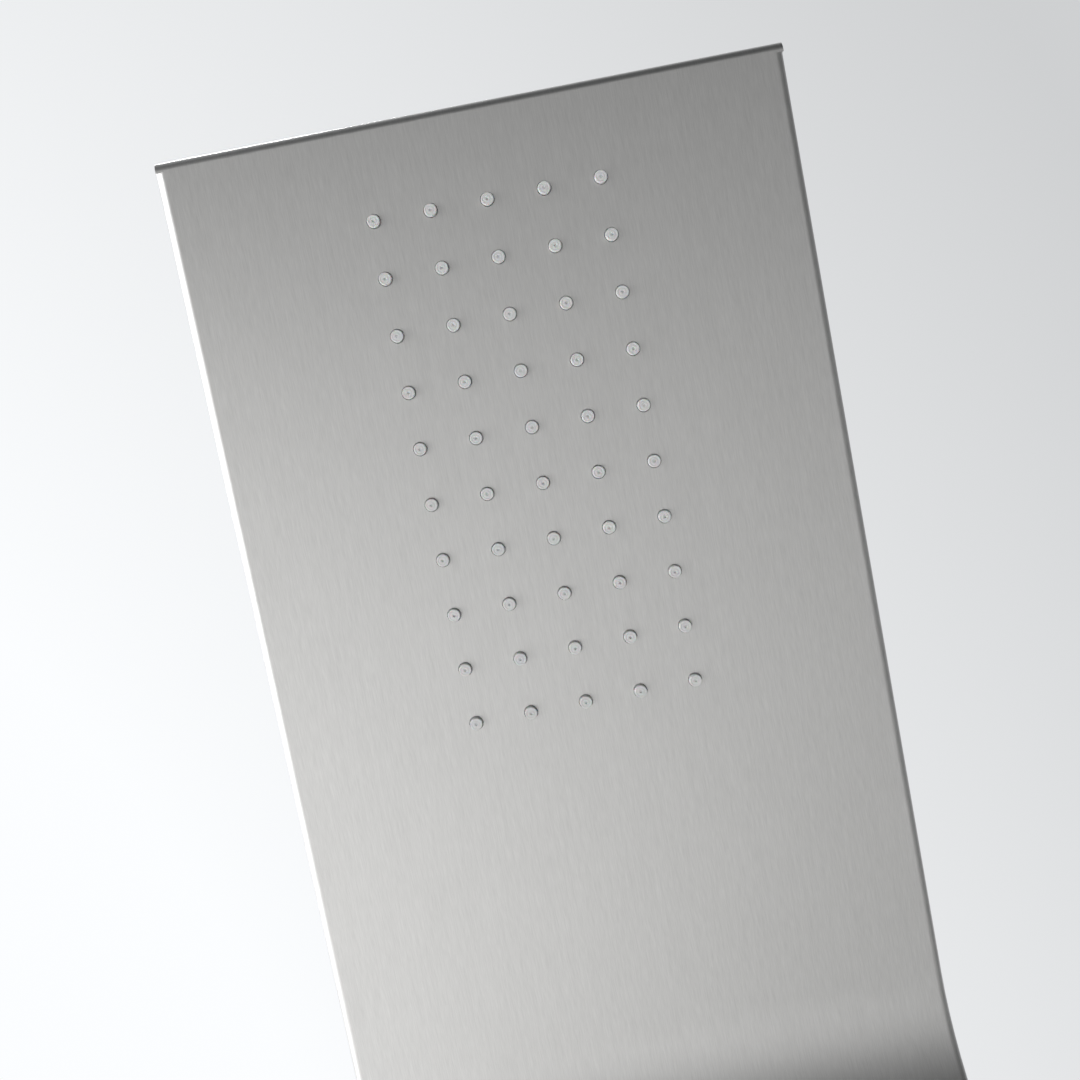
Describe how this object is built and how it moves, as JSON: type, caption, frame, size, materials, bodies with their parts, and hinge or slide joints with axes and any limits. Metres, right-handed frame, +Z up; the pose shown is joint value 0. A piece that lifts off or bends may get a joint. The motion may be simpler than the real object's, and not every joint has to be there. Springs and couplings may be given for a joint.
{
  "type": "shower panel column",
  "caption": "Wall-hung shower column of folded brushed steel with a leaning rain head, tilting body jets, handset holder, diverter and thermostatic mixer.",
  "frame": {"origin": "centre of the four wall screw holes, on the face of the wall", "axes": "+X to the right as the user faces the panel, +Y into the wall, +Z up the column"},
  "size_m": [0.22, 0.3407, 1.404],
  "materials": {
    "brushed_stainless": "brushed along the panel's length",
    "pale_silicone": "satin moulded silicone",
    "jet_silicone": "satin moulded silicone",
    "plain_stainless": "mill finish",
    "bright_steel": "plain fasteners",
    "cast_brass": "cast and turned",
    "bright_chrome": "polished plating",
    "black_plastic": "moulded",
    "red_plastic": "moulded"
  },
  "bodies": {
    "root": {"front_panel": "brushed_stainless", "nozzle_mat": "pale_silicone", "spray_tray": "plain_stainless", "tray_studs": "bright_steel", "tray_nuts": "bright_steel", "head_back_cover": "brushed_stainless", "cover_tabs": "plain_stainless", "cover_screws": "bright_steel", "riser_pipe": "plain_stainless", "mixed_water_pipe": "plain_stainless", "jet_feed_pipe": "plain_stainless", "handset_pipe": "plain_stainless", "pipe_nuts": "cast_brass", "hose_outlet": "cast_brass", "hose_outlet_nut": "cast_brass", "mixer_body": "cast_brass", "thermostatic_cartridge": "black_plastic", "mixer_gland_nut": "cast_brass", "mixer_escutcheon": "bright_chrome", "check_valves": "black_plastic", "inlet_filters": "plain_stainless", "diverter_body": "cast_brass", "diverter_cartridge": "black_plastic", "diverter_gland_nut": "cast_brass", "diverter_escutcheon": "bright_chrome", "jet_screws": "bright_steel", "holder_base": "bright_chrome", "holder_pin": "plain_stainless", "holder_fasteners": "bright_steel", "lower_jet_bezel": "bright_chrome", "lower_jet_housing": "black_plastic", "lower_wall_bracket": "plain_stainless", "lower_hanger_rail": "plain_stainless", "upper_jet_bezel": "bright_chrome", "upper_jet_housing": "black_plastic", "upper_wall_bracket": "plain_stainless", "upper_hanger_rail": "plain_stainless"},
    "temperature_control": {"temperature_knob": "bright_chrome", "temperature_knob_cap": "bright_chrome", "temperature_spindle": "plain_stainless", "temperature_grub_screw": "bright_steel", "stop_button_spring": "plain_stainless"},
    "stop_button": {"stop_button": "red_plastic"},
    "diverter_control": {"diverter_knob": "bright_chrome", "diverter_knob_cap": "bright_chrome", "diverter_lever": "bright_chrome", "diverter_spindle": "plain_stainless", "diverter_grub_screw": "bright_steel"},
    "lower_jet": {"lower_jet_barrel": "bright_chrome", "lower_jet_nozzles": "jet_silicone"},
    "upper_jet": {"upper_jet_barrel": "bright_chrome", "upper_jet_nozzles": "jet_silicone"},
    "handset_holder": {"holder_cup": "bright_chrome"}
  },
  "joints": [
    {"name": "temperature_turn", "type": "hinge", "parent": "root", "child": "temperature_control", "pos_m": [0, -0.083, -0.28], "axis": [0, -1, 0], "range_deg": [-150, 60]},
    {"name": "stop_button_press", "type": "slide", "parent": "temperature_control", "child": "stop_button", "axis": [0, 0, -1], "range_m": [0, 0.0015], "stiffness_N_per_m": 400, "springref_m": -0.002, "deforming": ["stop_button_spring"]},
    {"name": "diverter_turn", "type": "hinge", "parent": "root", "child": "diverter_control", "pos_m": [0, -0.083, -0.14], "axis": [0, -1, 0], "range_deg": [-90, 90]},
    {"name": "lower_jet_tilt", "type": "hinge", "parent": "root", "child": "lower_jet", "pos_m": [0, -0.052, 0.18], "axis": [1, 0, 0], "range_deg": [-15, 15]},
    {"name": "upper_jet_tilt", "type": "hinge", "parent": "root", "child": "upper_jet", "pos_m": [0, -0.052, 0.36], "axis": [1, 0, 0], "range_deg": [-15, 15]},
    {"name": "holder_tilt", "type": "hinge", "parent": "root", "child": "handset_holder", "pos_m": [0, -0.076, 0.02], "axis": [1, 0, 0], "range_deg": [-30, 30]}
  ]
}
